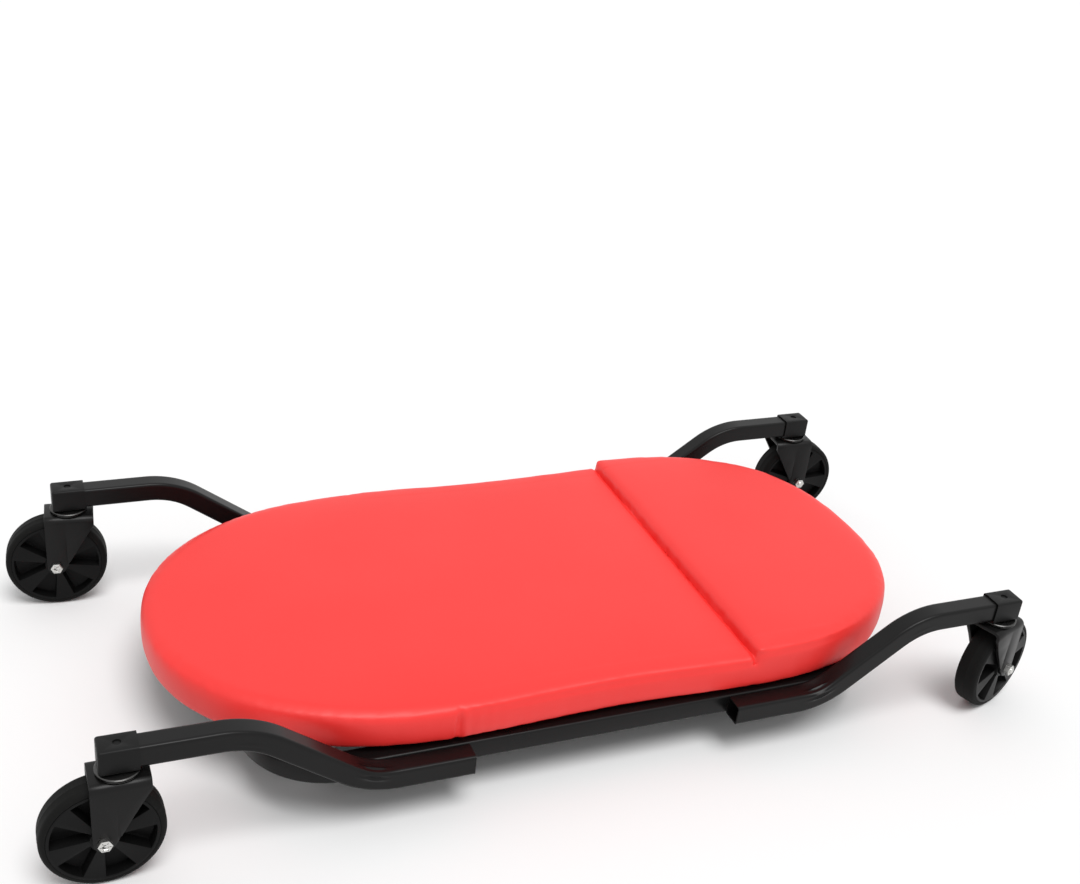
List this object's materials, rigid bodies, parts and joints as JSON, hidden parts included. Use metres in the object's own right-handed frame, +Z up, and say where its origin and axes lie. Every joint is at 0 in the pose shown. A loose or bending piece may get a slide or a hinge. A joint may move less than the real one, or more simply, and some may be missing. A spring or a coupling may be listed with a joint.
{
  "type": "mechanic creeper",
  "caption": "Low padded creeper with a raised headrest on a bent square-tube frame, carried between outrigger arms on spoked swivel casters that raise it above the floor.",
  "frame": {"origin": "on the floor, below the middle of the frame", "axes": "+X along the length towards the head end, +Y towards the user's right, +Z up"},
  "size_m": [1.2461, 0.58, 0.168],
  "materials": {
    "red_vinyl": "satin",
    "black_paint": "gloss",
    "black_board": "matte",
    "black_cap_plastic": "satin",
    "black_core_plastic": "satin",
    "black_rubber": "matte",
    "zinc_plate": "satin"
  },
  "bodies": {
    "frame": {"left_rail": "black_paint", "right_rail": "black_paint", "foot_bow": "black_paint", "head_bow": "black_paint", "foot_cross_tube": "black_paint", "head_cross_tube": "black_paint", "board_screw_1": "zinc_plate", "board_screw_2": "zinc_plate", "board_screw_3": "zinc_plate", "board_screw_4": "zinc_plate", "board_screw_5": "zinc_plate", "board_screw_6": "zinc_plate", "base_board": "black_board", "main_cushion": "red_vinyl", "headrest_cushion": "red_vinyl", "foot_left_arm": "black_paint", "foot_left_arm_cap": "black_cap_plastic", "foot_left_kingpin": "zinc_plate", "foot_left_kingpin_nut": "zinc_plate", "foot_left_swivel_bearing": "zinc_plate", "foot_right_arm": "black_paint", "foot_right_arm_cap": "black_cap_plastic", "foot_right_kingpin": "zinc_plate", "foot_right_kingpin_nut": "zinc_plate", "foot_right_swivel_bearing": "zinc_plate", "head_left_arm": "black_paint", "head_left_arm_cap": "black_cap_plastic", "head_left_kingpin": "zinc_plate", "head_left_kingpin_nut": "zinc_plate", "head_left_swivel_bearing": "zinc_plate", "head_right_arm": "black_paint", "head_right_arm_cap": "black_cap_plastic", "head_right_kingpin": "zinc_plate", "head_right_kingpin_nut": "zinc_plate", "head_right_swivel_bearing": "zinc_plate"},
    "foot_left_caster": {"foot_left_fork": "black_paint", "foot_left_axle_bolt": "zinc_plate", "foot_left_axle_nut": "zinc_plate", "foot_left_axle_sleeve": "zinc_plate"},
    "foot_left_wheel": {"foot_left_wheel_core": "black_core_plastic", "foot_left_tyre": "black_rubber"},
    "foot_right_caster": {"foot_right_fork": "black_paint", "foot_right_axle_bolt": "zinc_plate", "foot_right_axle_nut": "zinc_plate", "foot_right_axle_sleeve": "zinc_plate"},
    "foot_right_wheel": {"foot_right_wheel_core": "black_core_plastic", "foot_right_tyre": "black_rubber"},
    "head_left_caster": {"head_left_fork": "black_paint", "head_left_axle_bolt": "zinc_plate", "head_left_axle_nut": "zinc_plate", "head_left_axle_sleeve": "zinc_plate"},
    "head_left_wheel": {"head_left_wheel_core": "black_core_plastic", "head_left_tyre": "black_rubber"},
    "head_right_caster": {"head_right_fork": "black_paint", "head_right_axle_bolt": "zinc_plate", "head_right_axle_nut": "zinc_plate", "head_right_axle_sleeve": "zinc_plate"},
    "head_right_wheel": {"head_right_wheel_core": "black_core_plastic", "head_right_tyre": "black_rubber"}
  },
  "joints": [
    {"name": "foot_left_swivel", "type": "hinge", "parent": "frame", "child": "foot_left_caster", "pos_m": [-0.5421, -0.2568, 0.136], "axis": [0, 0, 1], "continuous": true},
    {"name": "foot_left_roll", "type": "hinge", "parent": "foot_left_caster", "child": "foot_left_wheel", "pos_m": [-0.5601, -0.2568, 0.0625], "axis": [0, 1, 0], "continuous": true},
    {"name": "foot_right_swivel", "type": "hinge", "parent": "frame", "child": "foot_right_caster", "pos_m": [-0.5421, 0.2568, 0.136], "axis": [0, 0, 1], "continuous": true},
    {"name": "foot_right_roll", "type": "hinge", "parent": "foot_right_caster", "child": "foot_right_wheel", "pos_m": [-0.56003, 0.25837, 0.0625], "axis": [0.0872, 0.9962, 0], "continuous": true},
    {"name": "head_left_swivel", "type": "hinge", "parent": "frame", "child": "head_left_caster", "pos_m": [0.5421, -0.2568, 0.136], "axis": [0, 0, 1], "continuous": true},
    {"name": "head_left_roll", "type": "hinge", "parent": "head_left_caster", "child": "head_left_wheel", "pos_m": [0.55901, -0.25064, 0.0625], "axis": [-0.342, 0.9397, 0], "continuous": true},
    {"name": "head_right_swivel", "type": "hinge", "parent": "frame", "child": "head_right_caster", "pos_m": [0.5421, 0.2568, 0.136], "axis": [0, 0, 1], "continuous": true},
    {"name": "head_right_roll", "type": "hinge", "parent": "head_right_caster", "child": "head_right_wheel", "pos_m": [0.56006, 0.25554, 0.0625], "axis": [0.0698, 0.9976, 0], "continuous": true}
  ]
}
